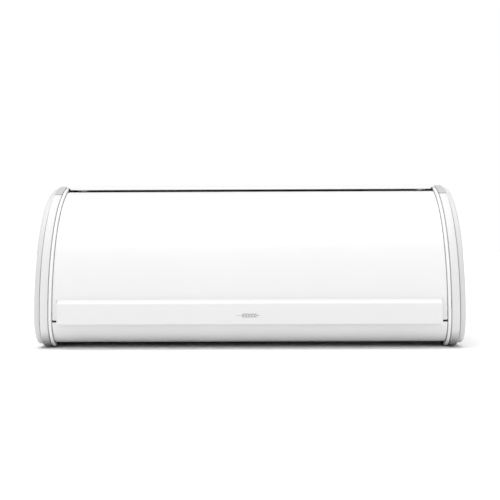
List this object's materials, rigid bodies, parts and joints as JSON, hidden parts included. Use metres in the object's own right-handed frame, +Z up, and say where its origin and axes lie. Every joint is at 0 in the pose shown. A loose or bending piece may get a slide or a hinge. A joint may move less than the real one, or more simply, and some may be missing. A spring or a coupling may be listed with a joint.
{
  "type": "bread box with roll top",
  "caption": "White steel bread box with a curved lid that slides up and back under the flat top, worked by a full-width bar handle.",
  "frame": {"origin": "centre of the footprint, on the surface that the box stands on", "axes": "+X to the right along the lid's axis, -Y to the front where the handle is, +Z up"},
  "size_m": [0.448, 0.2719, 0.177],
  "materials": {
    "steel_white": "smooth glossy white coating",
    "handle_white": "satin white coating",
    "plastic_white": "moulded white, semi-gloss",
    "trim_white": "moulded off-white, satin",
    "plastic_dark": "moulded black, matt",
    "runner_plastic": "natural low-friction plastic",
    "rubber_grey": "matt",
    "screw_steel": "zinc plated",
    "rivet_steel": "white coated rivets"
  },
  "bodies": {
    "case": {"base_pan": "steel_white", "top_back_shell": "steel_white", "shell_rivets": "rivet_steel", "closing_buffers": "rubber_grey", "opening_buffers": "rubber_grey", "left_end_frame": "plastic_white", "left_top_trim": "trim_white", "left_side_band": "plastic_white", "left_end_cover": "plastic_white", "left_cover_screws": "screw_steel", "left_pan_screws": "screw_steel", "left_front_foot": "rubber_grey", "left_rear_foot": "rubber_grey", "right_end_frame": "plastic_white", "right_top_trim": "trim_white", "right_side_band": "plastic_white", "right_end_cover": "plastic_white", "right_cover_screws": "screw_steel", "right_pan_screws": "screw_steel", "right_front_foot": "rubber_grey", "right_rear_foot": "rubber_grey"},
    "lid": {"lid_panel": "steel_white", "lid_top_rail": "plastic_dark", "handle_rail": "plastic_white", "handle_bar": "handle_white", "handle_screws": "screw_steel", "left_lid_runner": "runner_plastic", "right_lid_runner": "runner_plastic"}
  },
  "joints": [
    {"name": "lid_roll", "type": "hinge", "parent": "case", "child": "lid", "pos_m": [0, 0.0132, 0.0336], "axis": [-1, 0, 0], "range_deg": [0, 62]}
  ]
}
